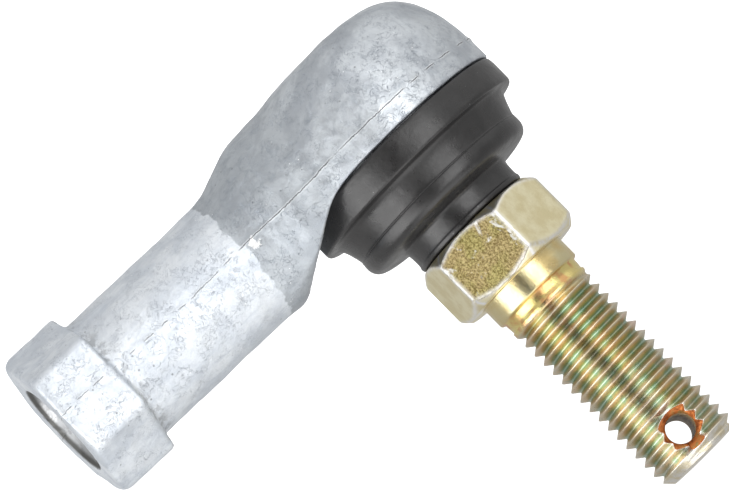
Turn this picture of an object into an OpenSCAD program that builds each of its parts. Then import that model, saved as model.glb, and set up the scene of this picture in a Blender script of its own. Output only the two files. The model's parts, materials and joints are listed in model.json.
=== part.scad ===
// Tie rod end: a closed cast housing on a female threaded shank, with a threaded
// ball stud held in plastic seats and sealed by a rubber dust boot.
// Frame: +Z along the stud towards its tip, +X along the shank towards its mouth,
// origin on the stud axis at the hex face that seats on the steering arm.

/* [Stud] */
// Major diameter of both threads, 5/16-24 UNF
thread_d = 7.938; // [6:0.001:9]
// Height of the stud tip above the seating face
stud_tip = 20.9; // [20.4:0.1:24]
// Length of the hex on the stud
stud_hex_h = 5.5; // [4:0.1:6]
// Width across the flats of the stud hex
stud_hex_af = 11.4; // [10:0.1:12]
// Diameter of the pilot collar above the hex
pilot_d = 8.5; // [8.2:0.1:9]
// Height of the pilot collar
pilot_h = 2; // [1:0.1:3]
// Diameter of the cotter pin hole
cotter_d = 2.5; // [2:0.1:2.6]
// Height of the cotter pin hole above the seating face
cotter_z = 18.1; // [16:0.1:18.2]

/* [Ball joint] */
// Distance from the seating face down to the ball centre
ball_drop = 16.6; // [16.4:0.1:18]
// Diameter of the ball
ball_d = 11; // [10.9:0.05:11]
// Diameter of the neck between the ball and the boot seat
neck_d = 5.8; // [5.2:0.1:5.8]
// Diameter of the housing cavity that holds the seats
cavity_d = 13.2; // [13.2:0.05:13.3]

/* [Housing] */
// Diameter of the head at its rim
head_d = 20.6; // [20.3:0.1:20.8]
// Depth of the closed back below the ball centre
head_back = 8.05; // [8.05:0.05:9.5]
// Height of the rim above the ball centre
rim_h = 1.9; // [1.8:0.05:1.95]
// Diameter of the shank
shank_d = 11.8; // [11:0.1:12]
// Distance from the stud axis to the mouth of the shank
shank_reach = 35.8; // [33:0.1:45]
// Width across the flats of the shank hex
shank_hex_af = 12.7; // [12.2:0.1:13]
// Length of the shank hex
shank_hex_l = 5.7; // [4:0.1:8]
// Length of the thread in the shank
bore_l = 21.5; // [15:0.1:22]

/* [Boot] */
// Diameter of the boot flange
flange_d = 21; // [20.8:0.1:21.2]
// Diameter of the boot neck under the stud hex
boot_neck_d = 11; // [10.8:0.1:11.4]

/* [Hidden] */
$fn = 96;

ball_z = -ball_drop;
ball_r = ball_d / 2;
neck_r = neck_d / 2;
running = 0.05;      // radial clearance between parts that turn on each other
rubber_gap = 0.1;    // clearance between the boot and what it presses on
press_gap = 0.03;    // clearance of the steel rings in and on the housing
past = 1;            // how far a cutter stands past the face it cuts

// Stud: heights above the seating face
thread_r = thread_d / 2;
relief_r = thread_r - 0.04;
relief_from = pilot_h + 0.3;
relief_taper = 0.1;
thread_from = pilot_h + 1.5;
tip_chamfer = 0.85;
boot_seat_r = 3.6;
boot_seat_l = 3.1;
neck_flare_l = 2.2;  // where the neck widens to the boot seat
hex_chamfer_angle = 42;
hex_face_inset = 0.05;  // how far the end faces stay inside the flats
cotter_turn = 4;     // angle from the Y axis
hex_turn = 22.5;     // angle of the first corner of the stud hex from the X axis
cotter_mouth_r = 2;
cotter_sink = cotter_mouth_r - cotter_d / 2;

// Housing: heights from the ball centre
cavity_r = cavity_d / 2;
rim_z = ball_z + rim_h;
back_z = ball_z - head_back;
head_round_r = 5;    // larger is squarer towards the back
head_round_h = 2.3;  // larger is squarer towards the rim
head_step = 4.5;     // angle between the points of the head's outline
head_shift = 0.25;   // the head's axis stands this far behind the stud axis
spigot_r = 8.2;
spigot_top = 4.7;
pocket_r = 10.7;
pocket_wall = [11.5, 2.75];  // radius and height where the wall of the pocket starts
pocket_mouth = [13.7, 6.1];
spring_seat_r = 5.4;
spring_floor = -7;
cavity_side = -4.6;  // where the side of the cavity starts to taper in
cavity_foot = -6.1;
groove_h = 4.05;
groove_w = 0.5;
groove_r = cavity_r + 0.5;

// Shank: distances from the stud axis
shank_r = shank_d / 2;
throat_r = 7.7;      // where the throat starts to narrow
throat_from = 2;
throat_to = 9.45;
throat_taper = 4.2;  // angle of the back before the throat narrows
throat_blend_r = 7;
throat_angle = 21;
bore_r = thread_r + 0.031;
bore_mouth_r = 4.32;
bore_chamfer = 0.35;
drill_point = 2;
bore_from = shank_reach - bore_chamfer - bore_l;

// Rings in the foot and the neck of the boot
ring_or = 9.2;
ring_top = rim_z + 1.4;
neck_ring_or = 4.6;
neck_ring_h = 2;
neck_ring_top = -stud_hex_h - 0.5;

// Seats
seat_inner_r = ball_r + running;
seat_outer_r = cavity_r - running;
lip_angle = 58;      // from the stud axis, leaves room for 25 degrees of tilt
lower_seat_foot = -6.2;
grease_hole_r = 1;
upper_seat_top = 3.4;
upper_seat_mouth = 5.15;
washer_mouth = 5.55;
washer_h = 0.55;

function polar(r, a) = [r * cos(a), r * sin(a)];

// Points of an arc about a centre, from one angle to another
function arc(c, r, from, to, steps = 6) =
    [for (i = [0 : steps]) c + polar(r, from + (to - from) * i / steps)];

module at_ball() { translate([0, 0, ball_z]) children(); }

module turned(points) { rotate_extrude() polygon(points); }

// Solid of revolution about the shank axis, from points of [distance, radius]
module along_shank(points) {
    translate([0, 0, ball_z]) rotate([0, 90, 0])
        rotate_extrude() polygon([for (p = points) [p[1], p[0]]]);
}

// Hexagon prism with a corner on the X axis, chamfered at both ends
module chamfered_hex(af, h) {
    corner_r = af / 2 / cos(30);
    face_r = af / 2 - hex_face_inset;
    drop = (corner_r - face_r) * tan(hex_chamfer_angle);
    intersection() {
        cylinder(r = corner_r, h = h, $fn = 6);
        turned([[0, 0], [face_r, 0], [corner_r, drop], [corner_r, h - drop],
                [face_r, h], [0, h]]);
    }
}

module head() {
    depth = head_back + rim_h;
    translate([-head_shift, 0, 0]) at_ball() turned(concat(
        [[0, rim_h]],
        [for (t = [0 : head_step : 90])
            [head_d / 2 * pow(cos(t), 2 / head_round_r),
             rim_h - depth * pow(sin(t), 2 / head_round_h)]]));
}

// Neck of the casting, from the head to the shank
module throat() {
    slope = tan(throat_angle);
    blend_c = [throat_to, throat_r] - polar(throat_blend_r, 90 - throat_taper);
    blend = arc(blend_c, throat_blend_r, 90 - throat_taper, 90 - throat_angle);
    last = blend[len(blend) - 1];
    along_shank(concat(
        [[throat_from, 0],
         [throat_from, throat_r + (throat_to - throat_from) * tan(throat_taper)]],
        blend,
        [[last[0] + (last[1] - shank_r) / slope, shank_r], [shank_reach - past, shank_r],
         [shank_reach - past, 0]]));
}

module shank_hex() {
    translate([shank_reach - shank_hex_l, 0, ball_z]) rotate([0, 90, 0])
        cylinder(d = shank_hex_af / cos(30), h = shank_hex_l, $fn = 6);
}

// Room for the boot to lean over: a round pocket with a sloping wall
module boot_pocket() {
    above = shank_hex_af;
    at_ball() turned([[0, rim_h], [pocket_r, rim_h], pocket_wall, pocket_mouth,
                      [pocket_mouth[0], above], [0, above]]);
}

module ball_cavity() {
    at_ball() turned([[0, spring_floor], [spring_seat_r, spring_floor],
                      [spring_seat_r, cavity_foot], [cavity_r, cavity_side],
                      [cavity_r, groove_h], [groove_r, groove_h],
                      [groove_r, groove_h + groove_w], [cavity_r, groove_h + groove_w],
                      [cavity_r, spigot_top + past], [0, spigot_top + past]]);
}

module rod_bore() {
    along_shank([[bore_from - drill_point, 0], [bore_from, bore_r],
                 [shank_reach - bore_chamfer, bore_r], [shank_reach, bore_mouth_r],
                 [shank_reach + past, bore_mouth_r], [shank_reach + past, 0]]);
}

module housing() {
    color("silver") difference() {
        union() {
            difference() {
                union() {
                    head();
                    throat();
                    shank_hex();
                }
                boot_pocket();
            }
            at_ball() cylinder(r = spigot_r, h = spigot_top);
        }
        ball_cavity();
        rod_bore();
    }
}

module lower_seat() {
    color("ivory") at_ball() difference() {
        turned([[0, lower_seat_foot], [spring_seat_r - running, lower_seat_foot],
                [spring_seat_r - running, cavity_foot + running],
                [seat_outer_r, cavity_side + running], [seat_outer_r, -running],
                [0, -running]]);
        sphere(r = seat_inner_r);
        translate([0, 0, lower_seat_foot - past]) cylinder(r = grease_hole_r, h = 3 * past);
    }
}

module upper_seat() {
    lip_r = seat_inner_r * sin(lip_angle);
    lip_h = seat_inner_r * cos(lip_angle);
    core = 2;        // inside the ball, so its size doesn't show
    color("ivory") at_ball() difference() {
        turned([[core, 0], [seat_outer_r, 0], [seat_outer_r, upper_seat_top - running],
                [upper_seat_mouth, upper_seat_top - running], [lip_r, lip_h], [core, lip_h]]);
        sphere(r = seat_inner_r);
    }
}

// Conical washer spring under the lower seat
module preload_spring() {
    top = lower_seat_foot - running;
    foot = spring_floor + running;
    t = 0.4;
    land = 0.6;      // width of the flat edges
    inner_r = 2.2;
    outer_r = 5.2;
    color("dimgray") at_ball()
        turned([[inner_r, top - t], [inner_r, top], [inner_r + land, top],
                [outer_r, foot + t], [outer_r, foot], [outer_r - land, foot]]);
}

module retaining_washer() {
    washer_or = cavity_r - press_gap;
    color("gray") at_ball()
        turned([[washer_mouth, upper_seat_top], [washer_or, upper_seat_top],
                [washer_or, upper_seat_top + washer_h],
                [washer_mouth, upper_seat_top + washer_h]]);
}

// Open ring that springs into the groove above the washer
module snap_ring() {
    play = 0.04;
    h = groove_w - play;
    ring_w = 1.1;
    gap = 2.4;       // open ends of the ring
    color("dimgray") translate([0, 0, ball_z + groove_h + play / 2]) difference() {
        cylinder(r = groove_r - play, h = h);
        translate([0, 0, -past]) cylinder(r = groove_r - play - ring_w, h = h + 2 * past);
        translate([-groove_r - past, -gap / 2, -past]) cube([3 * past, gap, h + 2 * past]);
    }
}

// One forging: ball, neck, boot seat, hex, pilot collar and threaded end
module ball_stud() {
    boot_seat_from = -stud_hex_h - boot_seat_l;
    neck_top = boot_seat_from - neck_flare_l;
    cotter_wall = thread_r - cotter_sink;
    color("goldenrod") difference() {
        union() {
            at_ball() sphere(r = ball_r);
            turned([[0, ball_z], [neck_r, ball_z], [neck_r, neck_top],
                    [boot_seat_r, boot_seat_from], [boot_seat_r, -stud_hex_h + past],
                    [0, -stud_hex_h + past]]);
            translate([0, 0, -stud_hex_h]) rotate(hex_turn) chamfered_hex(stud_hex_af, stud_hex_h);
            turned([[0, -past], [pilot_d / 2, -past], [pilot_d / 2, pilot_h],
                    [relief_r, relief_from], [relief_r - relief_taper, thread_from],
                    [thread_r, thread_from], [thread_r, stud_tip - tip_chamfer],
                    [thread_r - tip_chamfer, stud_tip], [0, stud_tip]]);
        }
        translate([0, 0, cotter_z]) rotate(cotter_turn) rotate([90, 0, 0]) {
            cylinder(d = cotter_d, h = 3 * thread_r, center = true);
            for (side = [0, 180]) rotate([side, 0, 0]) translate([0, 0, cotter_wall])
                cylinder(r1 = cotter_d / 2, r2 = cotter_mouth_r + past, h = cotter_sink + past);
        }
    }
}

// Rubber boot: a thick flange on the rim, a waist, a bulge and a plain neck.
// The foot is hollow for its steel ring.
module dust_boot() {
    flange_r = flange_d / 2;
    flange_h = 2.8;
    foot = rim_z + rubber_gap;
    flange_top = rim_z + flange_h;
    foot_round = 0.5;
    top_round = 0.25;
    waist_from = 0.35;   // the waist starts this far outside waist_top
    waist_drop = 0.5;    // and curves in over this height
    waist_top = [8.8, -10.9];
    waist = [8.65, -9.9];
    waist_blend_r = 0.7;
    bulge_c = [7.65, -8.95];
    bulge_r = 1.05;
    neck_or = boot_neck_d / 2;
    neck_ir = 4.7;
    neck_round = 0.3;
    roof = -7.75;
    neck_foot = -8.2;
    top = -stud_hex_h - rubber_gap;
    neck_lip = top - 0.3;
    inner = spigot_r + rubber_gap;
    bore = boot_seat_r + rubber_gap;
    wall_ir = 7.7;
    wall_foot = -11.2;
    ceiling = [6.3, -8.8];
    ceiling_round = 1;
    color("#202022") turned(concat(
        [[inner, ring_top + rubber_gap], [ring_or + rubber_gap, ring_top + rubber_gap],
         [ring_or + rubber_gap, foot]],
        arc([flange_r - foot_round, foot + foot_round], foot_round, -90, 0),
        arc([flange_r - top_round, flange_top - top_round], top_round, 0, 90, 4),
        arc([waist_top[0] + waist_from + waist_blend_r, flange_top + waist_drop],
            waist_blend_r, -100, -180, 4),
        [waist_top, waist],
        arc(bulge_c, bulge_r, 0, 90),
        arc([neck_or + neck_round, roof + neck_round], neck_round, -90, -180, 3),
        arc([neck_or - neck_round, top - neck_round], neck_round, 0, 90, 3),
        [[bore, top], [bore, neck_lip], [neck_ir, neck_lip], [neck_ir, neck_foot], ceiling],
        arc([wall_ir - ceiling_round, ceiling[1] - ceiling_round], ceiling_round, 80, 0, 4),
        [[wall_ir, wall_foot], [inner, ball_z + spigot_top + rubber_gap]]));
}

// Steel ring that clamps the foot of the boot to the spigot
module boot_base_ring() {
    color("dimgray") translate([0, 0, rim_z]) difference() {
        cylinder(r = ring_or, h = ring_top - rim_z);
        translate([0, 0, -past]) cylinder(r = spigot_r + press_gap, h = ring_top - rim_z + 2 * past);
    }
}

// Steel sleeve moulded into the neck of the boot, which turns on the stud
module boot_neck_ring() {
    color("dimgray") translate([0, 0, neck_ring_top - neck_ring_h]) difference() {
        cylinder(r = neck_ring_or, h = neck_ring_h);
        translate([0, 0, -past]) cylinder(r = boot_seat_r + running, h = neck_ring_h + 2 * past);
    }
}

housing();
lower_seat();
upper_seat();
preload_spring();
retaining_washer();
snap_ring();
ball_stud();
dust_boot();
boot_base_ring();
boot_neck_ring();
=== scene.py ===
"""Looks for the tie rod end: a cast housing, a zinc plated ball stud and a rubber boot."""
import json
import math

import bpy
import numpy as np
from mathutils import Matrix, Vector


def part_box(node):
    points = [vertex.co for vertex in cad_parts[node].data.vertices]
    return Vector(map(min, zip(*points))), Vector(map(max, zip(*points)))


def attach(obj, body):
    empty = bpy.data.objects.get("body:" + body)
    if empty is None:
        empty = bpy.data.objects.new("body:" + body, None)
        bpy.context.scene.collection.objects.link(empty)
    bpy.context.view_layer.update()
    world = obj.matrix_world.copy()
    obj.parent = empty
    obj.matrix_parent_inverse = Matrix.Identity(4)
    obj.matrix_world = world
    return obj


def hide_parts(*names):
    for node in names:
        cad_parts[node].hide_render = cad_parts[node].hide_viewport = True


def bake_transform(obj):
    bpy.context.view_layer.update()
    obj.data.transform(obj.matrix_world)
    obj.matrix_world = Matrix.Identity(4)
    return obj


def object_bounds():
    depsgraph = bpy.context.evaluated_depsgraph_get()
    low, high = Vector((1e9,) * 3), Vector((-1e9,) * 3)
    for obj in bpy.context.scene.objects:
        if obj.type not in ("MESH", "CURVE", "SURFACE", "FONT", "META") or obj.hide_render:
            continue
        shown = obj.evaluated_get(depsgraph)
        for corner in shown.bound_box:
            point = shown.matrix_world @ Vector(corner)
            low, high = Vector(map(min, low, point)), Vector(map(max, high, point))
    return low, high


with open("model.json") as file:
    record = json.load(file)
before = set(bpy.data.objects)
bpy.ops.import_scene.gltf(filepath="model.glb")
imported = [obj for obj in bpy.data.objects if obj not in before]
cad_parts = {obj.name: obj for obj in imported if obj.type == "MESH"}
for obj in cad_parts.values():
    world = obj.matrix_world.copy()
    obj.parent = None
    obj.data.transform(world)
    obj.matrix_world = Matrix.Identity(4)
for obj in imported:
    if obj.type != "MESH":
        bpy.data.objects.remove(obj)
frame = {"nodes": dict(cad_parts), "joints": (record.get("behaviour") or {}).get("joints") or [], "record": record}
cad_low, cad_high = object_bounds()
MM = 0.001
MOUNTS = {m["name"]: m for m in frame["record"]["mounts"]}


def mount_mm(name, key):
    """A size of a mount, in millimetres."""
    return MOUNTS[name]["dims"][key]


# Driving sizes in millimetres, heights above the face of the stud hex
BALL_Z = frame["joints"][0]["pos_m"][2] / MM
BALL_R = 5.5
STUD_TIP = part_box("ball_stud")[1].z / MM
PITCH = 25.4 / 24  # 24 threads per inch

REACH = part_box("housing")[1].x / MM  # from the stud axis to the mouth of the shank
BACK_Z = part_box("housing")[0].z / MM

# Housing, heights above the ball centre
HEAD_R = 10.3
HEAD_BACK = 8.05  # closed back of the head below the ball centre
HEAD_SHIFT = 0.25  # the head's axis stands this far behind the stud axis
HEAD_SIDE, HEAD_DOME = 5, 2.3  # powers that set how square the head is at its side and its back
RIM_H = 1.9
SHANK_R = 5.9
HEX_AF = 12.7
HEX_L = 5.7  # back from the mouth of the shank
HEX_CHAMFER_R = 6.75  # the chamfer's cone meets the end face at this radius
POCKET_R = 10.7  # the floor round the spigot turns up here
POCKET_WALL_R, POCKET_WALL_H = 11.5, 2.75  # the steeper wall of the pocket passes through this point
SPIGOT_R, SPIGOT_TOP = 8.2, 4.7
CAVITY_R, CAVITY_FLOOR = 6.6, -7.0
CAVITY_FOOT_R, CAVITY_FOOT_LOW, CAVITY_FOOT_TOP = 5.4, -6.1, -4.6  # the cavity narrows towards its floor
GROOVE_R, GROOVE_LOW, GROOVE_TOP = 7.1, 4.05, 4.56  # groove of the snap ring
BORE_R = mount_mm("rod_thread", "r_mm")
BORE_L = 22.3  # back from the mouth to the bottom of the bore
BORE_THREAD_H = 0.62
EDGE_GAP = 0.003  # how far the casting's skin stays inside the CAD box
CHIP_X, CHIP_H = 14.9, 0.45  # middle of a bright chip beside the parting line

# Stud, heights above the face of its hex
THREAD_R = mount_mm("arm_thread", "r_mm")
THREAD_H = 0.60
PILOT_R = mount_mm("arm_pilot", "r_mm")
PILOT_H = mount_mm("arm_pilot", "length_mm")
NECK_R, SEAT_R = 2.9, 3.6  # narrow neck above the ball, and the wider length that carries the boot's neck
STUD_HEX_AF, STUD_HEX_H = 11.4, 5.5
STUD_HEX_TURN = math.radians(22.5)
CHAMFER_IN = 0.05  # the hex's chamfers start this far inside its flats
CHAMFER_RISE = math.tan(math.radians(42))
HOLE_R = mount_mm("cotter_hole", "r_mm")
HOLE_HALF = mount_mm("cotter_hole", "length_mm") / 2
SINK, FLARE = 0.35, 0.8  # the countersink starts this far inside the hole's wall and widens at this rate
SCUFF_AND_REFLECTION_X = 1.2  # middle of a dark stripe down the front of the thread: scuffs and dirt, and partly a painted dark reflection


# ---------------------------------------------------------------- mesh helpers

def make_object(name, verts_mm, faces):
    """A smooth shaded mesh object from points in millimetres."""
    mesh = bpy.data.meshes.new(name)
    mesh.from_pydata((np.asarray(verts_mm, float) * MM).tolist(), [], [list(map(int, f)) for f in faces])
    mesh.validate()
    mesh.polygons.foreach_set("use_smooth", [True] * len(mesh.polygons))
    obj = bpy.data.objects.new(name, mesh)
    bpy.context.scene.collection.objects.link(obj)
    return obj


def read_points(mesh, key):
    """The place or the normal of every point."""
    values = np.zeros(len(mesh.vertices) * 3)
    mesh.vertices.foreach_get(key, values)
    return values.reshape(-1, 3)


def store(mesh, name, value):
    """Keeps one number for every point, for a material to read."""
    mesh.attributes.new(name, "FLOAT", "POINT").data.foreach_set("value", value.astype(np.float32))


def ring_points(r, z, angle):
    """Points round the Z axis; radius and height are numbers or have one value for each angle."""
    return np.stack([r * np.cos(angle), r * np.sin(angle), np.broadcast_to(z, angle.shape)], 1)


def tube_faces(rings, sides, first=0):
    """Quads that join each ring of points to the next."""
    quads = []
    for start in range(first, first + (rings - 1) * sides, sides):
        for j in range(sides):
            k = (j + 1) % sides
            quads.append((start + j, start + k, start + sides + k, start + sides + j))
    return quads


def apply_modifiers(obj):
    """Replaces the object's mesh with its evaluated mesh."""
    graph = bpy.context.evaluated_depsgraph_get()
    mesh = bpy.data.meshes.new_from_object(obj.evaluated_get(graph))
    obj.modifiers.clear()
    obj.data = mesh


def smooth_min(a, b, k):
    """The smaller of two values, with a fillet of about k where they meet."""
    h = np.clip(0.5 + 0.5 * (b - a) / k, 0, 1)
    return b * (1 - h) + a * h - k * h * (1 - h)


def smooth_max(a, b, k):
    """The larger of two values, with a fillet of about k where they meet."""
    return -smooth_min(-a, -b, k)


def smooth_step(low, high, x):
    """Rises from 0 at low to 1 at high, level at both ends."""
    t = np.clip((x - low) / (high - low), 0, 1)
    return t * t * (3 - 2 * t)


def wave_field(rng, count, shortest, longest):
    """A function of place that sums random sine waves, from about -1 to 1; wavelengths in millimetres."""
    direction = rng.normal(size=(count, 3))
    direction /= np.linalg.norm(direction, axis=1)[:, None]
    wave = 2 * math.pi / rng.uniform(shortest, longest, count)[:, None] * direction
    phase = rng.uniform(0, 2 * math.pi, count)

    def field(x, y, z):
        total = sum(np.sin(k[0] * x + k[1] * y + k[2] * z + a) for k, a in zip(wave.tolist(), phase.tolist()))
        return total / math.sqrt(count)

    return field


def catmull_rom(points, steps):
    """Points along a smooth curve through the given points."""
    p = np.array([points[0]] + list(points) + [points[-1]], float)
    out = []
    for i in range(1, len(p) - 2):
        for t in np.arange(steps) / steps:
            out.append(0.5 * (2 * p[i] + (p[i + 1] - p[i - 1]) * t
                              + (2 * p[i - 1] - 5 * p[i] + 4 * p[i + 1] - p[i + 2]) * t ** 2
                              + (3 * p[i] - p[i - 1] - 3 * p[i + 1] + p[i + 2]) * t ** 3))
    out.append(p[-1])
    return np.array(out)


CORNERS = [(i, j, k) for i in (0, 1) for j in (0, 1) for k in (0, 1)]


def net_points(field, cells):
    """For each cell that the surface crosses, the middle of the places where it crosses the cell's edges."""
    value = {c: field[tuple((cells + c).T)] for c in CORNERS}
    place, hits = np.zeros((len(cells), 3)), np.zeros(len(cells))
    for a in CORNERS:
        for axis in range(3):
            if a[axis]:
                continue
            b = tuple(1 if i == axis else a[i] for i in range(3))
            crosses = (value[a] < 0) != (value[b] < 0)
            t = value[a][crosses] / (value[a][crosses] - value[b][crosses])
            point = np.tile(np.array(a, float), (len(t), 1))
            point[:, axis] += t
            place[crosses] += point
            hits[crosses] += 1
    return cells + place / hits[:, None]


def net_quads(inside, index):
    """One quad for every grid edge that the surface crosses, between the four cells round that edge."""
    quads = []
    for axis in range(3):
        u, v = (axis + 1) % 3, (axis + 2) % 3
        low = [slice(1, -1)] * 3
        low[axis] = slice(0, -1)
        high = list(low)
        high[axis] = slice(1, None)
        leaves = inside[tuple(low)] & ~inside[tuple(high)]
        enters = ~inside[tuple(low)] & inside[tuple(high)]
        for change, flip in ((leaves, False), (enters, True)):
            at = np.argwhere(change) + [0 if i == axis else 1 for i in range(3)]
            ring = []
            for du, dv in ((1, 1), (0, 1), (0, 0), (1, 0)):
                cell = at.copy()
                cell[:, u] -= du
                cell[:, v] -= dv
                ring.append(index[tuple(cell.T)])
            ring = np.stack(ring, 1)
            quads.append(ring[:, ::-1] if flip else ring)
    return np.concatenate(quads)


def surface_net(field, origin, step):
    """Closed quad mesh of the zero level of a sampled field that is negative inside."""
    inside = field < 0
    n = np.array(field.shape) - 1
    count = sum(inside[i:i + n[0], j:j + n[1], k:k + n[2]].astype(np.int8) for i, j, k in CORNERS)
    cells = np.argwhere((count > 0) & (count < 8))
    index = -np.ones(n, np.int64)
    index[tuple(cells.T)] = np.arange(len(cells))
    return origin + net_points(field, cells) * step, net_quads(inside, index)


# ---------------------------------------------------------------- node helpers

class Graph:
    """Short forms for building a node material in the object's own millimetres."""

    def __init__(self, name):
        self.material = bpy.data.materials.new(name)
        self.material.use_nodes = True
        self.tree = self.material.node_tree
        self.shader = self.tree.nodes["Principled BSDF"]
        place = self.tree.nodes.new("ShaderNodeTexCoord").outputs["Object"]
        self.place = self.vector_math("SCALE", place, scale=1 / MM)

    def feed(self, socket, value):
        """Links a node's output to the socket, or sets the socket to a plain value."""
        if isinstance(value, bpy.types.NodeSocket):
            self.tree.links.new(value, socket)
        else:
            socket.default_value = value

    def math(self, operation, *values, clamp=False):
        node = self.tree.nodes.new("ShaderNodeMath")
        node.operation, node.use_clamp = operation, clamp
        for socket, value in zip(node.inputs, values):
            self.feed(socket, value)
        return node.outputs[0]

    def vector_math(self, operation, *values, scale=None):
        node = self.tree.nodes.new("ShaderNodeVectorMath")
        node.operation = operation
        for socket, value in zip(node.inputs, values):
            self.feed(socket, value)
        if scale is not None:
            node.inputs["Scale"].default_value = scale
        return node.outputs["Value" if operation in ("LENGTH", "DISTANCE", "DOT_PRODUCT") else "Vector"]

    def noise(self, scale, detail=3.0, rough=0.55, distort=0.0, stretch=(1, 1, 1)):
        node = self.tree.nodes.new("ShaderNodeTexNoise")
        self.feed(node.inputs["Vector"], self.vector_math("MULTIPLY", self.place, stretch))
        settings = {"Scale": scale, "Detail": detail, "Roughness": rough, "Distortion": distort}
        for key, value in settings.items():
            node.inputs[key].default_value = value
        return node.outputs["Fac"]

    def cells(self, scale):
        """Distance from the nearest of many scattered points."""
        node = self.tree.nodes.new("ShaderNodeTexVoronoi")
        self.feed(node.inputs["Vector"], self.place)
        node.inputs["Scale"].default_value = scale
        return node.outputs["Distance"]

    def ramp(self, value, low, high, to_low=0.0, to_high=1.0):
        """Smooth step from to_low to to_high as the value goes from low to high."""
        node = self.tree.nodes.new("ShaderNodeMapRange")
        node.interpolation_type = "SMOOTHSTEP"
        for socket, v in zip(node.inputs, (value, low, high, to_low, to_high)):
            self.feed(socket, v)
        return node.outputs["Result"]

    def mix(self, factor, a, b, mode="MIX"):
        node = self.tree.nodes.new("ShaderNodeMix")
        node.data_type, node.blend_type = "RGBA", mode
        self.feed(node.inputs["Factor"], factor)
        self.feed(node.inputs["A"], (*a, 1) if isinstance(a, tuple) else a)
        self.feed(node.inputs["B"], (*b, 1) if isinstance(b, tuple) else b)
        return node.outputs["Result"]

    def stops(self, value, *stops):
        """Colour ramp through (position, colour) stops."""
        node = self.tree.nodes.new("ShaderNodeValToRGB")
        elements = node.color_ramp.elements
        while len(elements) < len(stops):
            elements.new(1.0)
        for element, (position, colour) in zip(elements, stops):
            element.position, element.color = position, (*colour, 1)
        self.feed(node.inputs["Fac"], value)
        return node.outputs["Color"]

    def axis(self, name):
        node = self.tree.nodes.new("ShaderNodeSeparateXYZ")
        self.feed(node.inputs[0], self.place)
        return node.outputs[name]

    def attribute(self, name):
        node = self.tree.nodes.new("ShaderNodeAttribute")
        node.attribute_name = name
        return node.outputs["Fac"]

    def bump(self, height, depth_mm, below=None):
        """Normal for a height map, on top of another bump if one is given."""
        node = self.tree.nodes.new("ShaderNodeBump")
        node.inputs["Distance"].default_value = depth_mm * MM
        self.feed(node.inputs["Height"], height)
        if below is not None:
            self.feed(node.inputs["Normal"], below)
        return node.outputs["Normal"]

    def finish(self, **sockets):
        """Feeds the shader's sockets, named with underscores for spaces, and gives back the material."""
        for name, value in sockets.items():
            socket = self.shader.inputs[name.replace("_", " ")]
            self.feed(socket, (*value, 1) if isinstance(value, tuple) and len(value) == 3 else value)
        return self.material


# ---------------------------------------------------------------- materials

def casting_skin(g, x, bright):
    """Clouds, stains and flow marks: dull on the head, with painted shade darkening it towards the throat, bright
    on the shank.
    """
    clouds = g.ramp(g.noise(0.33, 6, 0.66, 0.5), 0.36, 0.64)
    stain = g.ramp(g.noise(0.75, 7, 0.72, 1.0), 0.50, 0.66)
    flow = g.ramp(g.noise(1.3, 5, 0.6, 0.8, stretch=(0.2, 1, 1)), 0.48, 0.7)
    head = g.mix(clouds, (0.47, 0.50, 0.535), (0.63, 0.665, 0.695))
    # painted shade: the head darkens towards the throat
    head = g.mix(g.ramp(x, 3, 12, 0.0, 0.34), head, (0.33, 0.36, 0.39))
    shank = g.mix(clouds, (0.65, 0.69, 0.74), (0.79, 0.825, 0.86))
    base = g.mix(bright, head, shank)
    base = g.mix(g.math("MULTIPLY", stain, g.ramp(bright, 0, 1, 0.44, 0.12)), base, (0.30, 0.335, 0.375))
    return g.mix(g.math("MULTIPLY", flow, g.ramp(bright, 0, 1, 0.12, 0.30)), base, (0.50, 0.55, 0.62))


def casting_step_shade(g, base, x):
    """Mottled painted shade in the step behind the shank's hex."""
    hex_back = REACH - HEX_L
    behind, ahead = g.ramp(x, hex_back - 1.7, hex_back - 0.2), g.ramp(x, hex_back + 0.3, hex_back)
    in_step = g.math("MULTIPLY", behind, ahead)
    step_shade = g.math("MULTIPLY", in_step, g.ramp(g.noise(1.1, 4, 0.65), 0.46, 0.62))
    # painted shade darkening the step behind the hex
    return g.mix(g.math("MULTIPLY", step_shade, 0.5), base, (0.22, 0.225, 0.23))


def casting_chip(g, base):
    """Ragged bright chip on the front, beside the parting line."""
    side_place = g.vector_math("MULTIPLY", g.place, (1, 0, 1))
    from_chip = g.vector_math("DISTANCE", side_place, (CHIP_X, 0, BALL_Z + CHIP_H))
    ragged = g.math("MULTIPLY", g.math("SUBTRACT", g.noise(1.6, 4, 0.7), 0.5), 1.6)
    on_front = g.ramp(g.axis("Y"), 0.0, -1.0)
    chip = g.math("MULTIPLY", g.ramp(g.math("ADD", from_chip, ragged), 0.5, 0.4), on_front)
    return g.mix(chip, base, (0.97, 0.97, 0.97))


def casting_seam(g, base, bright):
    """Dark broken crack with a painted highlight on its lip along the parting line; also gives where the crack is.
    """
    wander = g.math("MULTIPLY", g.math("SUBTRACT", g.noise(1.9, 5, 0.7), 0.5), 0.34)
    offset = g.math("ABSOLUTE", g.math("ADD", g.attribute("seam_offset"), wander))
    present = g.ramp(g.attribute("seam_strength"), 0.18, 0.42, 0.0, g.ramp(bright, 0, 1, 1.0, 0.7))
    crack = g.math("MULTIPLY", g.ramp(offset, 0.055, 0.02), present)
    lip = g.math("MULTIPLY", g.ramp(offset, 0.17, 0.08), present)
    # painted highlight along the lip of the crack
    base = g.mix(g.math("MULTIPLY", lip, 0.45), base, (0.90, 0.92, 0.94))
    return g.mix(g.math("MULTIPLY", crack, 0.85), base, (0.09, 0.095, 0.10)), crack


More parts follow.
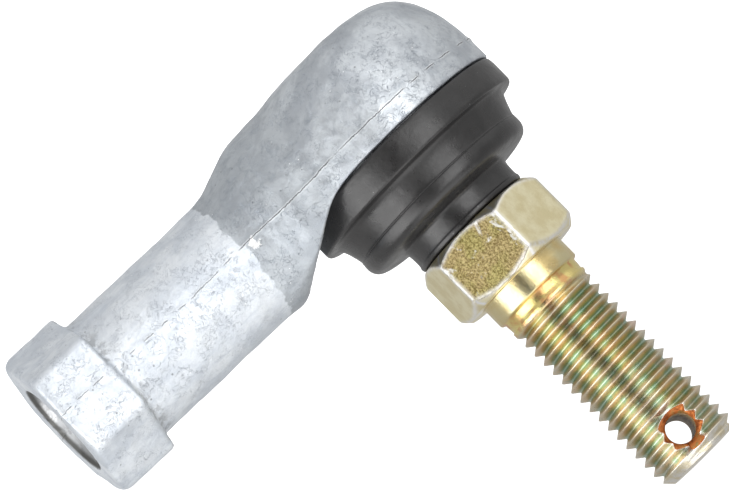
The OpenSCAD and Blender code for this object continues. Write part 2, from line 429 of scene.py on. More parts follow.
def casting_bore(g, base, x):
    """Grey wall of the threaded bore, partly its own oily machined tone and partly painted shade, with patchy
    painted reflections and painted shade just inside its mouth.
    """
    across = g.vector_math("MULTIPLY", g.vector_math("SUBTRACT", g.place, (0, 0, BALL_Z)), (0, 1, 1))
    from_axis = g.vector_math("LENGTH", across)
    bottom = REACH - BORE_L
    near_bore = g.ramp(x, bottom - 1.5, bottom - 1.0)
    in_bore = g.math("MULTIPLY", g.ramp(from_axis, BORE_R + 0.45, BORE_R + 0.25), near_bore)
    # oily grey wall with painted shade and patchy painted reflections
    wall = g.mix(g.ramp(g.noise(0.4, 3, 0.6), 0.45, 0.58), (0.40, 0.41, 0.42), (0.80, 0.81, 0.82))
    # painted shade just inside the mouth of the bore
    wall = g.mix(g.ramp(x, REACH - 0.6, REACH - 0.3), wall, (0.12, 0.12, 0.115))
    return g.mix(in_bore, base, wall)


def casting_material():
    """Zinc casting: cloudy and finely veined, dull blue-grey on the head and bright on the shank."""
    g = Graph("casting")
    x = g.axis("X")
    edge = g.math("ADD", x, g.math("MULTIPLY", g.noise(0.8, 3), 1.2))
    bright = g.ramp(edge, 16.3, 16.5)
    base = casting_skin(g, x, bright)
    vein = g.math("ABSOLUTE", g.math("SUBTRACT", g.noise(1.5, 4, 0.6, 1.3), 0.5))
    veins = g.math("MULTIPLY", g.ramp(vein, 0.02, 0.003), g.ramp(g.noise(0.7, 2), 0.40, 0.6))
    hex_back = REACH - HEX_L
    vein_depth = g.ramp(x, hex_back - 0.2, hex_back + 0.2, g.ramp(bright, 0, 1, 0.6, 0.32), 0.55)
    base = g.mix(g.math("MULTIPLY", veins, vein_depth), base, (0.34, 0.38, 0.45))
    specks = g.math("MULTIPLY", g.ramp(g.cells(1.6), 0.10, 0.04), g.ramp(g.noise(0.7, 1), 0.55, 0.62))
    base = g.mix(specks, base, (0.95, 0.96, 0.97))
    pits = g.math("MULTIPLY", g.ramp(g.cells(1.1), 0.13, 0.05), g.ramp(g.noise(0.45, 1), 0.5, 0.6))
    base = g.mix(g.math("MULTIPLY", pits, 0.6), base, (0.20, 0.21, 0.22))
    base = casting_chip(g, casting_step_shade(g, base, x))
    base, crack = casting_seam(g, base, bright)
    base = casting_bore(g, base, x)
    smoothest, roughest = g.ramp(bright, 0, 1, 0.36, 0.46), g.ramp(bright, 0, 1, 0.52, 0.60)
    rough = g.ramp(g.noise(1.3, 5), 0.3, 0.7, smoothest, roughest)
    sunk = g.math("ADD", g.math("ADD", pits, veins), g.math("MULTIPLY", crack, 2.0))
    normal = g.bump(g.noise(0.9, 5, 0.6, 0.8), 0.05)
    normal = g.bump(g.noise(3.2, 5, 0.68, 0.6), 0.024, normal)
    normal = g.bump(g.math("MULTIPLY", sunk, -1.0), 0.025, normal)
    return g.finish(Base_Color=base, Metallic=0.82, Roughness=rough, Normal=normal)


def zinc_thread(g, radius, z):
    """Iridescent film: olive in the roots, pink and cream on the crests, with painted shade in the roots and
    painted highlights on the crests, and a scuffed stripe that is partly a painted dark reflection.
    """
    # painted shade in the roots and painted highlights on the crests, over the film's own olive, pink and cream
    depth = g.ramp(radius, THREAD_R - THREAD_H, THREAD_R)
    thread = g.stops(depth, (0.0, (0.24, 0.36, 0.28)), (0.10, (0.33, 0.35, 0.19)), (0.3, (0.48, 0.37, 0.18)),
                     (0.6, (0.58, 0.42, 0.25)), (0.85, (0.66, 0.48, 0.35)), (1.0, (0.72, 0.56, 0.42)))
    film = g.noise(0.42, 3, 0.55, 0.8, stretch=(1, 1, 0.7))
    tint = g.stops(film, (0.30, (0.64, 0.46, 0.24)), (0.42, (0.66, 0.56, 0.26)), (0.50, (0.46, 0.52, 0.28)),
                   (0.56, (0.40, 0.58, 0.44)), (0.62, (0.68, 0.54, 0.30)), (0.74, (0.72, 0.46, 0.46)))
    thread = g.mix(0.36, thread, tint)
    silver = g.math("MULTIPLY", g.ramp(z, PILOT_H + 3, STUD_TIP, 0.0, 0.3), g.ramp(g.noise(0.5, 4), 0.4, 0.6))
    thread = g.mix(silver, thread, (0.80, 0.77, 0.70))
    from_stripe = g.math("ABSOLUTE", g.math("SUBTRACT", g.axis("X"), SCUFF_AND_REFLECTION_X))
    stripe = g.math("MULTIPLY", g.ramp(from_stripe, 0.9, 0.3), g.ramp(g.axis("Y"), 0.0, -1.0))
    # scuffs and dirt, and partly a painted dark reflection down the front of the thread
    scuff_and_reflection = g.math("MULTIPLY", stripe, g.ramp(g.noise(2.6, 5, 0.72), 0.44, 0.58))
    return g.mix(g.math("MULTIPLY", scuff_and_reflection, 0.55), thread, (0.36, 0.26, 0.18))


def zinc_collar(g, z):
    """Gold on the pilot collar, deeper gold with red patches on the relief above it."""
    collar = g.mix(g.ramp(g.noise(0.5, 4), 0.35, 0.65), (0.72, 0.56, 0.26), (0.72, 0.64, 0.38))
    relief = g.mix(g.ramp(g.noise(0.8, 3), 0.42, 0.6), (0.80, 0.66, 0.26), (0.72, 0.42, 0.18))
    return g.mix(g.ramp(z, PILOT_H - 0.1, PILOT_H + 0.1), collar, relief)


def zinc_hex(g, coarse, grit):
    """Satin tan sides and, where the coarse mark is set, gritty brown ones with silver scratches."""
    gold = g.mix(g.ramp(grit, 0.37, 0.63), (0.15, 0.105, 0.04), (0.52, 0.42, 0.20))
    gold = g.mix(g.ramp(g.noise(0.5, 2), 0.42, 0.58), gold, (0.90, 0.97, 0.82), "MULTIPLY")
    scratch = g.ramp(g.noise(0.9, 5, 0.7, 0.6, stretch=(1, 1, 0.6)), 0.58, 0.66, 0.0, 0.8)
    gold = g.mix(scratch, gold, (0.74, 0.74, 0.72))
    tan = g.mix(g.ramp(g.noise(0.8, 5, 0.6), 0.35, 0.65), (0.78, 0.69, 0.42), (0.89, 0.82, 0.56))
    return g.mix(coarse, tan, gold)


def stud_material():
    """Yellow zinc plate over steel, bright and slightly grainy, worn silver on the edges."""
    g = Graph("yellow_zinc")
    z = g.axis("Z")
    radius = g.vector_math("LENGTH", g.vector_math("MULTIPLY", g.place, (1, 1, 0)))
    coarse, grit = g.attribute("gritty"), g.noise(5.4, 5, 0.8)
    on_thread = g.ramp(z, PILOT_H + 1.3, PILOT_H + 1.7)
    on_hex = g.ramp(radius, PILOT_R + 0.05, PILOT_R + 0.3)
    on_tip = g.ramp(z, STUD_TIP - 1.1, STUD_TIP - 0.75)
    base = g.mix(on_thread, zinc_collar(g, z), zinc_thread(g, radius, z))
    base = g.mix(on_hex, base, zinc_hex(g, coarse, grit))
    tip = g.mix(g.ramp(g.noise(1.0, 3), 0.4, 0.6), (0.74, 0.66, 0.48), (0.80, 0.77, 0.70))
    base = g.mix(on_tip, base, tip)
    patchy = g.ramp(g.noise(1.8, 4, 0.6), 0.3, 0.55, 0.3, 1.0)
    worn = g.math("MULTIPLY", g.attribute("worn"), patchy, clamp=True)
    base = g.mix(worn, base, (0.95, 0.94, 0.92))
    gritty = g.math("MULTIPLY", coarse, on_hex)
    normal = g.bump(g.math("MULTIPLY", grit, g.ramp(gritty, 0, 1, 0.12, 1.0)), 0.10)
    normal = g.bump(g.noise(3.0, 3), 0.012, normal)
    smooth = g.ramp(on_thread, 0, 1, 0.19, 0.23)
    rough = g.math("ADD", g.ramp(on_hex, 0, 1, smooth, 0.30), g.math("MULTIPLY", g.noise(2.2, 4), 0.12))
    return g.finish(Base_Color=base, Metallic=1.0, Roughness=rough, Normal=normal)


def cotter_material():
    """Freshly drilled hole with a film of orange-brown chromate, turning olive with painted shade deep inside."""
    g = Graph("cotter_hole")
    base = g.stops(g.noise(1.3, 4, 0.6, 0.5), (0.35, (0.20, 0.06, 0.02)), (0.52, (0.50, 0.16, 0.045)),
                   (0.7, (0.30, 0.20, 0.07)))
    along = g.vector_math("DOT_PRODUCT", g.place, tuple(MOUNTS["cotter_hole"]["axis"]))
    deep = g.ramp(g.math("ABSOLUTE", along), HOLE_HALF - 0.3, HOLE_HALF - 0.6)
    # painted shade: olive deep inside the hole, away from both ends
    base = g.mix(deep, base, (0.34, 0.26, 0.14))
    normal = g.bump(g.noise(4.0, 3), 0.03)
    rough = g.ramp(g.noise(2.0, 3), 0.3, 0.7, 0.34, 0.5)
    metal = g.ramp(deep, 0, 1, 0.5, 0.0)
    return g.finish(Base_Color=base, Metallic=metal, Roughness=rough, Normal=normal, Specular_IOR_Level=0.06)


def rubber_material():
    """Black moulded rubber with a satin skin and a little dust."""
    g = Graph("boot_rubber")
    base = g.mix(g.ramp(g.noise(0.5, 4), 0.35, 0.7), (0.014, 0.0135, 0.0135), (0.024, 0.023, 0.023))
    dust = g.math("MULTIPLY", g.ramp(g.cells(1.5), 0.06, 0.03), g.ramp(g.noise(0.6, 1), 0.54, 0.6))
    base = g.mix(dust, base, (0.35, 0.35, 0.36))
    rough = g.ramp(g.noise(0.8, 4, 0.6, 0.4), 0.3, 0.7, 0.26, 0.36)
    normal = g.bump(g.noise(2.4, 4, 0.6), 0.02)
    normal = g.bump(g.noise(11.0, 3), 0.008, normal)
    return g.finish(Base_Color=base, Roughness=rough, Normal=normal, Specular_IOR_Level=0.58)


def seat_material():
    """Off-white moulded plastic with a film of grease."""
    g = Graph("seat_plastic")
    base = g.mix(g.ramp(g.noise(0.6, 3), 0.35, 0.65), (0.74, 0.71, 0.60), (0.84, 0.82, 0.74))
    rough = g.ramp(g.noise(1.2, 3), 0.3, 0.7, 0.28, 0.45)
    return g.finish(Base_Color=base, Roughness=rough, Normal=g.bump(g.noise(3.0, 3), 0.01))


def inner_steel_material():
    """Dark spring steel, oiled, with fine turning marks."""
    g = Graph("inner_steel")
    base = g.mix(g.ramp(g.noise(1.2, 4), 0.35, 0.65), (0.20, 0.20, 0.21), (0.38, 0.38, 0.39))
    rough = g.ramp(g.noise(2.0, 3), 0.3, 0.7, 0.25, 0.42)
    normal = g.bump(g.noise(5.0, 3, stretch=(1, 1, 4)), 0.012)
    return g.finish(Base_Color=base, Metallic=1.0, Roughness=rough, Normal=normal)


# ---------------------------------------------------------------- housing

def throat_radius(x):
    """Radius of the casting about the shank axis: slight taper, round bend, steep cone, shank."""
    taper, steep = math.radians(4.2), math.radians(21)
    start, start_r, bend_r = 9.45, 7.7, 7.0
    end = start + bend_r * (math.sin(steep) - math.sin(taper))
    drop = bend_r * (math.cos(taper) - math.cos(steep))
    along = np.clip(x - start, 0, end - start)
    angle = np.arcsin(np.clip(math.sin(taper) + along / bend_r, 0, 1))
    tapered = start_r + (start - x) * math.tan(taper)
    bent = start_r - bend_r * (math.cos(taper) - np.cos(angle))
    cone = start_r - drop - (x - end) * math.tan(steep)
    r = np.where(x < start, tapered, np.where(x < end, bent, cone))
    return smooth_max(r, np.full_like(r, SHANK_R), 0.5)


class Seam:
    """The parting line of the mould: a thin, wandering, broken ridge in the plane of the shank axis."""

    def __init__(self, rng):
        self.drift = wave_field(rng, 6, 2.5, 12)
        self.break_up = wave_field(rng, 7, 1.2, 6)

    def offset(self, x, y, h):
        """Height above the middle of the ridge."""
        return h - 0.11 * self.drift(x, y * 0.2, h * 0)

    def strength(self, x, y, h):
        """How much of the ridge is there, from 0 where it breaks off to 1."""
        return np.clip(0.62 + 0.5 * self.break_up(x, y, h * 0), 0, 1)

    def ridge(self, x, y, h, width):
        """Height of the ridge, from 0 to 1."""
        return self.strength(x, y, h) * np.exp(-(self.offset(x, y, h) / width) ** 2)


def head_distance(x, y, h):
    """Rough distance from the closed head, a rounded dome that opens at the rim."""
    r = np.hypot(x + HEAD_SHIFT, y)
    full_depth = RIM_H + HEAD_BACK
    depth = np.maximum(RIM_H - h, 0)
    value = (r / HEAD_R) ** HEAD_SIDE + (depth / full_depth) ** HEAD_DOME - 1
    slope = np.hypot(HEAD_SIDE * r ** (HEAD_SIDE - 1) / HEAD_R ** HEAD_SIDE,
                     HEAD_DOME * depth ** (HEAD_DOME - 1) / full_depth ** HEAD_DOME)
    return value / np.maximum(slope, 0.06)


def hexagon_distance(x, y, h):
    """Distance from the chamfered hexagon at the mouth of the shank."""
    across = [np.abs(math.cos(a) * y + math.sin(a) * h) - HEX_AF / 2 for a in (0, math.pi / 3, -math.pi / 3)]
    hexagon = smooth_max(smooth_max(across[0], across[1], 0.4), across[2], 0.4)
    hexagon = smooth_max(hexagon, (np.hypot(y, h) - HEX_CHAMFER_R + x - REACH) * 0.71, 0.4)
    return smooth_max(hexagon, REACH - HEX_L - x, 0.4)


def pocket_distance(r, h):
    """Distance above the floor under the boot, which turns up at 35 and then 58 degrees into the throat."""
    floor = h - RIM_H
    step = 0.816 * (h - RIM_H) - 0.578 * (r - POCKET_R)
    wall = 0.531 * (h - POCKET_WALL_H) - 0.847 * (r - POCKET_WALL_R)
    return smooth_min(smooth_min(floor, step, 0.5), wall, 0.8)


def housing_outside(x, y, h, seam, lumps, grain):
    """Distance from the casting's outer skin, negative inside."""
    shank = smooth_max((np.hypot(y, h) - throat_radius(x)) * 0.96, 2 - x, 0.5)
    body = smooth_min(head_distance(x, y, h), shank, np.interp(np.abs(h), [2.5, 7.5], [2.4, 0.5]))
    body = smooth_max(smooth_min(body, hexagon_distance(x, y, h), 0.45), x - REACH, 0.35)
    body += 0.03 * lumps(x, y, h) + 0.012 * grain(x, y, h)
    body -= 0.10 * seam.ridge(x, y, h, 0.2)
    r = np.hypot(x, y)
    fillet = np.interp(r, [POCKET_R, POCKET_R + 1.5, POCKET_R + 3], [0.3, 0.5, 1.5])
    return smooth_max(body, pocket_distance(r, h), fillet)


def housing_hollows(x, y, h):
    """Distance from the inner walls, positive inside the cavity and the threaded bore."""
    heights = [CAVITY_FOOT_LOW, CAVITY_FOOT_TOP, GROOVE_LOW, GROOVE_LOW + 0.01, GROOVE_TOP - 0.01, GROOVE_TOP]
    radii = [CAVITY_FOOT_R, CAVITY_R, CAVITY_R, GROOVE_R, GROOVE_R, CAVITY_R]
    cavity = np.minimum(np.interp(h, heights, radii) - np.hypot(x, y), h - CAVITY_FLOOR)
    phase = x / PITCH - np.arctan2(h, y) / (2 * math.pi)
    ridge = np.abs(2 * (phase - np.floor(phase)) - 1)
    thread_r = BORE_R - BORE_THREAD_H * np.clip(ridge * 1.3 - 0.15, 0, 1)
    mouth_r = BORE_R + 0.4 - (REACH - x) * 0.9
    thread_r = smooth_max(thread_r, mouth_r, 0.1)
    bore = np.minimum(thread_r - np.hypot(y, h), x - (REACH - BORE_L))
    return np.maximum(cavity, bore)


def make_housing():
    """The whole casting as one closed skin, sampled on a grid and drawn in to the CAD box."""
    step = 0.15
    margin = 0.6
    low = np.array([-HEAD_R - margin, -HEAD_R - margin, BACK_Z - BALL_Z - margin])
    high = np.array([REACH + margin, HEAD_R + margin, 8.0])
    axes = [np.arange(a, b, step, dtype=np.float32) for a, b in zip(low, high)]
    x, y, h = np.meshgrid(*axes, indexing="ij")
    rng = np.random.default_rng(7)
    lumps, grain, seam = wave_field(rng, 10, 3.5, 9), wave_field(rng, 14, 1.1, 2.6), Seam(rng)
    body = housing_outside(x, y, h, seam, lumps, grain)
    spigot = np.maximum(np.maximum(np.hypot(x, y) - SPIGOT_R, h - SPIGOT_TOP), -h)
    body = np.maximum(np.minimum(body, spigot), housing_hollows(x, y, h))
    verts, quads = surface_net(body, low, step)
    offset, strength = np.clip(seam.offset(*verts.T), -1, 1), seam.strength(*verts.T)
    verts[:, 2] += BALL_Z
    box_low, box_high = (np.array(corner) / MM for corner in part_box("housing"))
    obj = make_object("housing_casting", np.clip(verts, box_low + EDGE_GAP, box_high - EDGE_GAP), quads)
    store(obj.data, "seam_offset", offset)
    store(obj.data, "seam_strength", strength)
    dent(obj, rng)
    return obj


def dent(obj, rng):
    """Knocks a few dozen small dents and nicks into the outside of the casting."""
    co, normal = read_points(obj.data, "co") / MM, read_points(obj.data, "normal")
    from_shank_axis = np.hypot(co[:, 1], co[:, 2] - BALL_Z)
    outside = np.where((from_shank_axis > 5) & (co[:, 2] < BALL_Z + 6))[0]
    for centre in co[rng.choice(outside, 60)]:
        width, depth = rng.uniform(0.2, 0.6), rng.uniform(0.02, 0.07)
        away = np.linalg.norm((co - centre) * rng.uniform(0.6, 1.4, 3), axis=1)
        co -= normal * (depth * np.exp(-(away / width) ** 2))[:, None]
    obj.data.vertices.foreach_set("co", (co * MM).ravel())
    obj.data.update()


# ---------------------------------------------------------------- ball stud

def thread_radius(z, angle):
    """Radius of the stud thread, fading in above the relief and cut by the tip chamfer."""
    phase = z / PITCH - angle / (2 * math.pi) + 0.31
    ridge = 1 - np.abs(2 * (phase - np.floor(phase)) - 1)
    profile = np.clip(ridge * 1.18 - 0.13, 0, 1)
    depth = THREAD_H * smooth_step(PILOT_H + 1.2, PILOT_H + 2.1, z)
    chamfer_r = THREAD_R - 0.85 + (STUD_TIP - z)
    return np.minimum(THREAD_R - depth * (1 - profile), chamfer_r)


def hex_radius(z, angle):
    """Radius of the stud's chamfered hexagon, with its corners a little rounded."""
    half = STUD_HEX_AF / 2
    local = np.mod(angle - STUD_HEX_TURN, math.pi / 3) - math.pi / 6
    corner = half / math.cos(math.pi / 6)
    cone = half - CHAMFER_IN + min(z + STUD_HEX_H, -z) / CHAMFER_RISE
    return smooth_min(smooth_min(half / np.cos(local), corner - 0.10, 0.2), cone, 0.24)


def stud_rings(angle):
    """Rings of points from the ball up to the relief below the thread."""
    rings = []

    def ring(z, r):
        rings.append(ring_points(r, z, angle))

    neck_angle = math.asin(NECK_R / BALL_R)
    for t in np.linspace(0.03, math.pi - neck_angle, 48):
        ring(BALL_Z - BALL_R * math.cos(t), BALL_R * math.sin(t))
    for z, r in catmull_rom([(-11.6, NECK_R), (-10.9, NECK_R), (-9.8, 3.15), (-8.6, SEAT_R), (-5.7, SEAT_R),
                             (-STUD_HEX_H, SEAT_R + 0.1)], 5):
        ring(z, r)
    foot = hex_radius(-STUD_HEX_H, angle)
    for share in (0.5, 0.9, 0.99):
        ring(-STUD_HEX_H, SEAT_R + (foot - SEAT_R) * share)
    for z in np.linspace(-STUD_HEX_H, 0, 64):
        ring(z, hex_radius(z, angle))
    face = hex_radius(0, angle)
    for share in (0.99, 0.9, 0.4, 0.05):
        ring(0, PILOT_R + (face - PILOT_R) * share)
    for z, r in ((0.0, PILOT_R + 0.06), (0.04, PILOT_R + 0.015), (0.1, PILOT_R), (0.8, PILOT_R),
                 (PILOT_H - 0.16, PILOT_R), (PILOT_H - 0.06, PILOT_R - 0.03), (PILOT_H + 0.02, PILOT_R - 0.12),
                 (PILOT_H + 0.10, THREAD_R - 0.03), (PILOT_H + 0.16, THREAD_R - 0.07),
                 (PILOT_H + 0.55, THREAD_R - 0.09), (PILOT_H + 1.0, THREAD_R - 0.13)):
        ring(z, r)
    return rings


def thread_grid(angle, low, high, first):
    """Rings and quads of the thread. The rings climb with the helix, so crests and roots are clean."""
    sides, per_pitch = len(angle), 16
    climb = np.arange(sides) / sides
    count = math.ceil(((high - low) / PITCH + 1) * per_pitch) + 1 + per_pitch
    rings, quads = [], []
    for i in range(count):
        z = np.clip(low + PITCH * (i / per_pitch - 1 + climb), low, high)
        rings.append(ring_points(thread_radius(z, angle), z, angle))
    for i in range(count - 1):
        for j in range(sides):
            k = (j + 1) % sides
            ahead = i + per_pitch if k == 0 else i
            if ahead + 1 < count:
                a, b = first + i * sides + j, first + ahead * sides + k
                quads.append((a, b, b + sides, a + sides))
    return rings, quads


def make_stud():
    """Points and faces of the forging: ball, neck, hex, collar, helical thread and tip, all closed."""
    sides = 192
    angle = STUD_HEX_TURN + np.arange(sides) * 2 * math.pi / sides
    low, high = PILOT_H + 1.1, STUD_TIP - 0.04
    rings = stud_rings(angle)
    rings.append(ring_points(thread_radius(low, angle), low, angle))
    faces = tube_faces(len(rings), sides)
    thread, thread_faces = thread_grid(angle, low, high, len(rings) * sides)
    rings += thread
    top = len(rings) * sides
    end_r = thread_radius(high, angle)
    tip = [(high, end_r), (STUD_TIP - 0.01, end_r - 0.04), (STUD_TIP, end_r - 0.10), (STUD_TIP, end_r * 0.5)]
    rings += [ring_points(r, z, angle) for z, r in tip]
    verts = np.concatenate([*rings, [[0, 0, STUD_TIP]], [[0, 0, BALL_Z - BALL_R]]])
    crown, pole, foot_pole = top + (len(tip) - 1) * sides, len(verts) - 2, len(verts) - 1
    faces += thread_faces + tube_faces(len(tip), sides, top)
    faces += [(crown + j, crown + (j + 1) % sides, pole) for j in range(sides)]
    faces += [((j + 1) % sides, j, foot_pole) for j in range(sides)]
    return weld(verts, faces)


def weld(verts, faces):
    """Joins points that share a place, to half a thousandth of a millimetre, and drops faces that vanish."""
    key = np.round(verts / 0.0005).astype(np.int64)
    _, first, same = np.unique(key, axis=0, return_index=True, return_inverse=True)
    same = same.ravel()
    out = []
    for face in faces:
        ring = []
        for v in face:
            v = int(same[v])
            if v not in ring:
                ring.append(v)
        if len(ring) > 2:
            out.append(ring)
    return verts[first], out


def drill_cotter_hole(stud, material):
    """Cuts the cotter hole and its countersinks, which leaves the thread scalloped round them."""
    mount = MOUNTS["cotter_hole"]
    past = 1.2  # how far the cutter reaches past each end of the hole
    cone_end = SINK - HOLE_HALF
    half_outline = [(-HOLE_HALF - past, HOLE_R + (past + SINK) * FLARE), (cone_end - 0.06, HOLE_R + 0.04),
                    (cone_end + 0.06, HOLE_R), (0, HOLE_R)]
    outline = half_outline + [(-s, r) for s, r in half_outline[-2::-1]]
    sides, rows = 64, len(outline)
    angle = np.arange(sides) * 2 * math.pi / sides
    verts = np.concatenate([ring_points(r, s, angle) for s, r in outline])
    faces = tube_faces(rows, sides)
    faces.append(tuple(range(sides))[::-1])
    faces.append(tuple(range((rows - 1) * sides, rows * sides)))
    cutter = make_object("cotter_cutter", verts, faces)
    cutter.data.materials.append(material)
    turn = Vector((0, 0, 1)).rotation_difference(Vector(mount["axis"])).to_matrix().to_4x4()
    cutter.data.transform(Matrix.Translation(mount["pos_m"]) @ turn)
    cut = stud.modifiers.new("cut", "BOOLEAN")
    cut.operation, cut.solver, cut.object = "DIFFERENCE", "EXACT", cutter
    cut.material_mode = "TRANSFER"
    apply_modifiers(stud)
    bpy.data.objects.remove(cutter)


def hole_rim(points):
    """1 on the edge of the countersink's cone, falling to 0 beside it."""
    mount = MOUNTS["cotter_hole"]
    from_hole = points - np.array(mount["pos_m"]) / MM
    along = from_hole @ np.array(mount["axis"])
    off_axis = np.linalg.norm(from_hole - along[:, None] * np.array(mount["axis"]), axis=1)
    cone_r = HOLE_R + (np.abs(along) - HOLE_HALF + SINK) * FLARE
    return np.where(np.abs(along) > 2, np.exp(-((off_axis - cone_r) / 0.16) ** 2), 0)


def mark_wear(obj):
    """Stores how worn each point is, and whether it lies on a gritty side of the hex."""
    points = read_points(obj.data, "co") / MM
    x, y, z = points.T
    turned, r = np.arctan2(y, x) - STUD_HEX_TURN, np.hypot(x, y)
    on_hex = (z < 0.01) & (z > -STUD_HEX_H - 0.1) & (r > PILOT_R + 0.35)
    from_corner = np.abs(np.mod(turned + math.pi / 6, math.pi / 3) - math.pi / 6) * r
    corner = np.exp(-(from_corner / 0.18) ** 2) * 1.3
    local = np.mod(turned, math.pi / 3) - math.pi / 6
    past_cone = STUD_HEX_AF / 2 / np.cos(local) - (STUD_HEX_AF / 2 - CHAMFER_IN)
    edge_z = np.maximum(past_cone, 0) * CHAMFER_RISE
    rise = np.minimum(z + STUD_HEX_H, -z)
    chamfer = np.exp(-((rise - edge_z) / 0.22) ** 2) * 0.8
    hex_wear = np.where(on_hex, np.maximum(corner, chamfer), 0)
    crest = np.where((z > PILOT_H + 1.2) & (r > THREAD_R - 0.09), 0.10, 0)
    store(obj.data, "worn", np.maximum(hex_wear, np.maximum(crest, hole_rim(points))))
    side = np.floor(np.mod(turned, 2 * math.pi) / (math.pi / 3)).astype(int)
    store(obj.data, "gritty", np.where(side % 2 == 0, 1.0, 0.0) * on_hex * (rise > edge_z - 0.05))


# ---------------------------------------------------------------- boot

def boot_outline():
    """Radius and height of points from the foot up the outside and back down the inner wall."""
    flange = [(9.4, -14.6), (9.95, -14.58), (10.28, -14.45), (10.36, -14.1), (10.40, -13.5), (10.41, -12.6),
              (10.40, -12.2), (10.33, -12.02), (10.2, -11.93), (9.8, -11.88), (9.45, -11.78)]
    waist = [(9.2, -11.5), (9.0, -11.05), (8.82, -10.5), (8.68, -10.0)]
    lip = [(8.65, -9.75), (8.68, -9.66), (8.64, -9.60), (8.68, -9.5)]
    bulge = [(8.69, -9.15), (8.66, -8.85), (8.52, -8.5), (8.24, -8.2), (7.8, -8.02), (7.1, -7.9), (6.3, -7.82)]
    neck = [(5.8, -7.75), (5.58, -7.58), (5.49, -7.25), (5.46, -6.6), (5.48, -6.2), (5.54, -6.03),
            (5.53, -5.85), (5.44, -5.68), (5.2, -5.61)]
    inner_neck = [(3.72, -5.61), (3.72, -5.9), (5.0, -5.92), (5.0, -8.18)]
    inner_bulge = [(6.2, -8.75), (7.0, -8.98), (7.5, -9.4), (7.68, -10.0), (7.7, -11.0)]
    inner_foot = [(8.24, -11.6), (8.32, -12.0), (8.32, -13.15), (9.32, -13.17), (9.34, -14.55)]
    outer = catmull_rom(flange + waist + lip + bulge + neck, 4)
    inner = catmull_rom(inner_neck + inner_bulge + inner_foot, 4)
    return np.concatenate([outer, inner])


def make_boot():
    """Moulded boot with thick flange, waist, bulge and plain neck, slightly out of round and off centre."""
    outline = boot_outline()
    sides, rows = 160, len(outline)
    angle = np.arange(sides) * 2 * math.pi / sides
    rings = []
    for r, z in outline:
        ripple = 1 + 0.0014 * np.sin(3 * angle + z) + 0.0007 * np.sin(7 * angle - 2 * z)
        lean = 0.12 * smooth_step(-8.5, -12, z)
        rings.append(ring_points(r * ripple, z, angle) - [lean, 0, 0])
    verts = np.concatenate(rings)
    seating = 0.01 * np.random.default_rng(11).normal()  # not quite at its drawn height
    verts[:, 2] += seating
    faces = []
    for i in range(rows):
        here, above = i * sides, (i + 1) % rows * sides
        for j in range(sides):
            k = (j + 1) % sides
            faces.append((above + k, above + j, here + j, here + k))
    return make_object("dust_boot_skin", verts, faces)


# ---------------------------------------------------------------- stage

def make_camera():
    """Long lens from the front, a little towards the mouth and the tip, with the stud pointing down right."""
    azimuth, elevation, roll = (math.radians(a) for a in (10, 5.8, 135.34))
    aim, distance = Vector((7.636, 0, -10.535)) * MM, 0.44671
    back = Vector((math.sin(azimuth) * math.cos(elevation), -math.cos(azimuth) * math.cos(elevation),
                   math.sin(elevation)))
    right = Vector((math.cos(azimuth), math.sin(azimuth), 0))
    level = Matrix((right, back.cross(right), back)).transposed()
    data = bpy.data.cameras.new("camera")
    data.lens, data.sensor_width = 271, 36
    data.clip_start, data.clip_end = 0.01, 100
    camera = bpy.data.objects.new("camera", data)
    camera.matrix_world = (Matrix.Translation(aim + back * distance)
                           @ (level @ Matrix.Rotation(roll, 3, "Z")).to_4x4())
    bpy.context.scene.collection.objects.link(camera)
    bpy.context.scene.camera = camera


def soft_box(name, azimuth, elevation, size, power, distance=0.8):
    """An area light that faces a point near the middle of the part."""
    target = Vector((0.01, 0, -0.005))
    a, e = math.radians(azimuth), math.radians(elevation)
    data = bpy.data.lights.new(name, "AREA")
    data.shape, data.size, data.size_y, data.energy = "RECTANGLE", size[0], size[1], power
    light = bpy.data.objects.new(name, data)
    away = Vector((math.sin(a) * math.cos(e), -math.cos(a) * math.cos(e), math.sin(e)))
    light.location = target + away * distance
    light.rotation_euler = away.to_track_quat("Z", "Y").to_euler()
    bpy.context.scene.collection.objects.link(light)


def make_world():
    """Studio light, brighter below than above and dim in one patch; the camera sees plain white."""
    world = bpy.data.worlds.new("studio")
    world.use_nodes = True
    bpy.context.scene.world = world
    tree = world.node_tree
    nodes, link = tree.nodes, tree.links.new
    place = nodes.new("ShaderNodeTexCoord").outputs["Generated"]

    def glow(direction, *span):
        """Brightness that changes from span[2] to span[3] as the view turns towards the direction."""
        dot = nodes.new("ShaderNodeVectorMath")
        dot.operation = "DOT_PRODUCT"
        link(place, dot.inputs[0])
        dot.inputs[1].default_value = direction
        ramp = nodes.new("ShaderNodeMapRange")
        ramp.interpolation_type = "SMOOTHSTEP"
        for socket, value in zip(ramp.inputs[1:5], span):
            socket.default_value = value
        link(dot.outputs["Value"], ramp.inputs[0])
        return ramp.outputs["Result"]

    dim_azimuth = math.radians(23)
    sky = glow((0.25, 0.0, 0.97), -0.9, 0.7, 0.62, 0.50)
    patch = glow((math.sin(dim_azimuth), -math.cos(dim_azimuth), 0.0), 0.84, 0.97, 1.0, 0.12)
    product = nodes.new("ShaderNodeMath")
    product.operation = "MULTIPLY"
    link(sky, product.inputs[0])
    link(patch, product.inputs[1])
    sight = nodes.new("ShaderNodeLightPath").outputs["Is Camera Ray"]
    mix = nodes.new("ShaderNodeMix")
    mix.inputs["B"].default_value = 1.0
    link(sight, mix.inputs["Factor"])
    link(product.outputs[0], mix.inputs["A"])
    link(mix.outputs["Result"], nodes["Background"].inputs["Strength"])
    nodes["Background"].inputs["Color"].default_value = (1, 1, 1, 1)


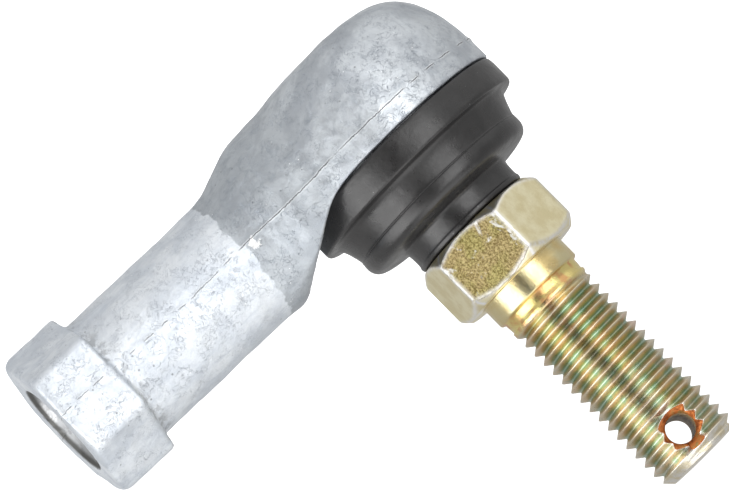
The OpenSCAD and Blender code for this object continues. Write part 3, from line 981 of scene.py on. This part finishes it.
def make_floor():
    """Pale floor 20 mm below the part."""
    half, z = 6.0, cad_low.z - 20 * MM
    corners = [(-half, -half, z), (half, -half, z), (half, half, z), (-half, half, z)]
    mesh = bpy.data.meshes.new("floor")
    mesh.from_pydata(corners, [], [(0, 1, 2, 3)])
    floor = bpy.data.objects.new("floor", mesh)
    bpy.context.scene.collection.objects.link(floor)
    material = bpy.data.materials.new("floor")
    material.use_nodes = True
    shader = material.node_tree.nodes["Principled BSDF"]
    shader.inputs["Base Color"].default_value = (0.93, 0.93, 0.93, 1)
    shader.inputs["Roughness"].default_value = 0.9
    shader.inputs["Emission Color"].default_value = (1, 1, 1, 1)
    shader.inputs["Emission Strength"].default_value = 0.75
    mesh.materials.append(material)
    floor.visible_glossy = False
    floor.visible_diffuse = False
    floor.visible_shadow = False


def make_stage():
    """Camera, world, floor and four soft boxes."""
    make_camera()
    make_world()
    make_floor()
    soft_box("soft_box_left", -14, 8, (0.46, 0.8), 3.4)
    soft_box("soft_box_right", 66, 8, (0.70, 0.9), 6.4)
    soft_box("soft_box_top", 20, 75, (0.9, 0.9), 3.0, 1.0)
    soft_box("soft_box_back", -52, -38, (1.5, 1.5), 2.6, 1.0)
    bpy.context.scene.view_settings.view_transform = "Standard"


# ---------------------------------------------------------------- assembly

def dress(obj, material, body, node):
    """Gives a piece its material and its body, and hides the CAD node it stands for."""
    if not obj.data.materials:
        obj.data.materials.append(material)
    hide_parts(node)
    if body:
        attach(obj, body)


def build():
    """Makes the stage and every piece, and gives the carried CAD nodes their materials."""
    make_stage()
    dress(make_housing(), casting_material(), "housing", "housing")

    stud = make_object("ball_stud_forging", *make_stud())
    stud.data.materials.append(stud_material())
    drill_cotter_hole(stud, cotter_material())
    mark_wear(stud)
    dress(stud, None, "stud", "ball_stud")

    boot = make_boot()
    dress(boot, rubber_material(), None, "dust_boot")
    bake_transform(boot)

    seat, steel = seat_material(), inner_steel_material()
    for name, material in (("lower_seat", seat), ("upper_seat", seat), ("preload_spring", steel),
                           ("retaining_washer", steel), ("snap_ring", steel), ("boot_base_ring", steel),
                           ("boot_neck_ring", steel)):
        node = frame["nodes"][name]
        node.data.materials.clear()
        node.data.materials.append(material)


build()
